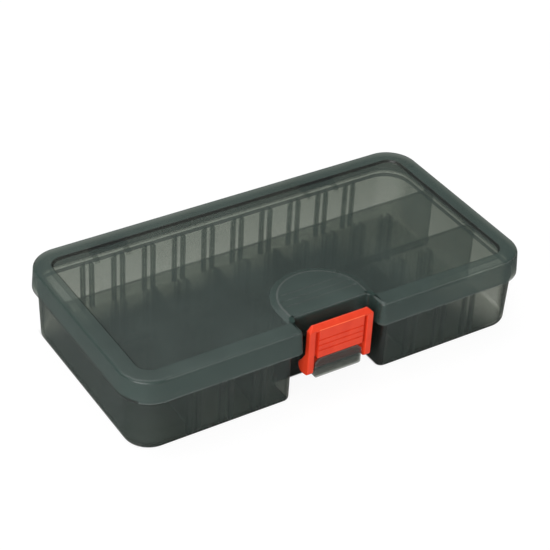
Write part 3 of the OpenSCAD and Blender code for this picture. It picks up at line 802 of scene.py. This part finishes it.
# the plate is a backing with a raised face, which has three grip lines across it; each arm has a round foot.
# crease and brow are the points, in edges, round the lower and the upper turn of the chamfer at the top
latch = {
    "face": -47.2, "back": -44.9, "armBack": -44.5, "top": 33.5, "plateZ": 17.7, "plateTip": 1.2,
    "chamfer": 1.7, "cornerCut": 2.1, "halfWidth": 15, "armIn": 12.1, "lap": 0.25, "grooveDeep": 1.6,
    "backingDown": 1, "backingFoot": (0.4, 0.3, 0.2), "faceHalf": 10.5, "bandZ": 31.2, "lowEdge": 0.5,
    "lines": 3, "lineFrom": 3.8, "linePitch": 2.6, "lineHalf": 0.28, "lineFloor": 0.4, "lineDepth": 0.35,
    "edge": 0.35, "crease": ((0, -1), (0.06, -0.3), (0.3, 0.06), (0.8, 0.8)),
    "brow": ((-1, -1), (-0.1, -0.25), (1, 0)), "armEdge": 0.38, "armEdgeSteps": 4,
    "barY": -43.2, "barZ": 12.6, "barR": 2.2, "footR": 3.0, "footArc": (-90, 60), "footSteps": 14,
    "toeR": 2, "toeUp": 2.4, "toeSteps": 6, "armBackUp": 2,
    "hookHalf": 9, "hookFrom": (-45.4, 27.0), "hookTo": (-42.2, 28.8),
}


def makeLatch(material):
    l = latch
    face, back, top, low, c, e = (l[k] for k in ("face", "back", "top", "plateZ", "chamfer", "edge"))
    heel = (back, low + back - face - l["plateTip"])
    deep, under = face + l["grooveDeep"], top - l["backingDown"]
    rise, inward, lift = l["backingFoot"]
    backing = [(back, under), (deep, under), (deep, low + rise), (deep + inward, low + lift), heel]
    # each grip line is four points: its upper and lower rim and its narrower floor
    z = low + l["lineFrom"] + np.arange(l["lines"]) * l["linePitch"]
    w, floor = l["lineHalf"], face + l["lineDepth"]
    lines = [np.stack([np.full(l["lines"], y), z + away], 1) for y, away in (
        (face, -w), (floor, -w * l["lineFloor"]), (floor, w * l["lineFloor"]), (face, w))]
    crown = np.array([(face + u * e, top - c + v * e) for u, v in l["crease"]]
                     + [(face + c + u * e, top + v * e) for u, v in l["brow"]] + [(back, top)])
    r, mid = l["lowEdge"], l["lowEdge"] * midway
    front = np.concatenate([
        [heel, (face + l["plateTip"], low), (face + r, low), (face + mid, low + mid), (face, low + r)],
        np.stack(lines, 1).reshape(-1, 2), crown])
    first = len(front) - len(crown)
    shoulder = np.concatenate([[(back, l["bandZ"]), (face, l["bandZ"])], crown])
    bar, toe = (l["barY"], l["barZ"]), l["toeR"]
    arm = np.concatenate([
        [(l["armBack"], top), (face + c, top), (face, top - c)],
        arcPoints((face + toe, l["barZ"] - l["footR"] + l["toeUp"]), toe, toe, 180, 270, l["toeSteps"]),
        arcPoints(bar, l["footR"], l["footR"], *l["footArc"], l["footSteps"]),
        [(l["armBack"], low + l["armBackUp"])]])
    reach = l["armIn"] + l["lap"]
    # the front's two sides at the crease carry mark 1, a painted highlight
    solids = [prism(backing, "X", -reach, reach),
              prism(front, "X", -l["faceHalf"], l["faceHalf"], (first, first + 1)),
              prism(circleProfile(bar, l["barR"]), "X", -reach, reach),
              prism(boxProfile(l["hookFrom"], l["hookTo"]), "X", -l["hookHalf"], l["hookHalf"])]
    arms = []
    for side in (-1, 1):
        solids.append(prism(shoulder, "X", *sorted((side * l["faceHalf"], side * reach))))
        arms.append(prism(arm, "X", *sorted((side * l["armIn"], side * l["halfWidth"]))))
    cuts = [((side * l["halfWidth"], 0, top - l["cornerCut"]), (side, 0, 1)) for side in (-1, 1)]
    makePiece("latchPlate", solidsMesh("latchPlate", solids), "latch", ["latch"], material)
    mesh = solidsMesh("latchArms", arms, cuts, l["armEdge"], l["armEdgeSteps"], mark=-1, clamp=False)
    makePiece("latchArms", mesh, "latch", ["latch"], material)
    print("latch made")


makeCamera(view)
makeLamps()
makeWorld(backdrop)
makeFloor(floorPlan)
lidMaterial = smokedPlastic("smokedLidPolystyrene", smoke)
trayMaterial = smokedPlastic("smokedTrayPolystyrene", clearer)
makeLid(lidMaterial)
makeLidFittings(lidMaterial)
makeTray(trayMaterial)
makeTrayInside(smokedPlastic("smokedRibPolystyrene", ribbing))
makeLatchClip(smokedPlastic("smokedClipPolystyrene", clip))
makeHingeEars(trayMaterial)
makeDividers(smokedPlastic("smokedPlatePolystyrene", plate))
makeLatch(redPlastic("redPolypropylene", red))

scene = bpy.context.scene
scene.view_settings.view_transform = "Standard"
scene.cycles.transparent_max_bounces = 64
scene.cycles.volume_bounces = 0
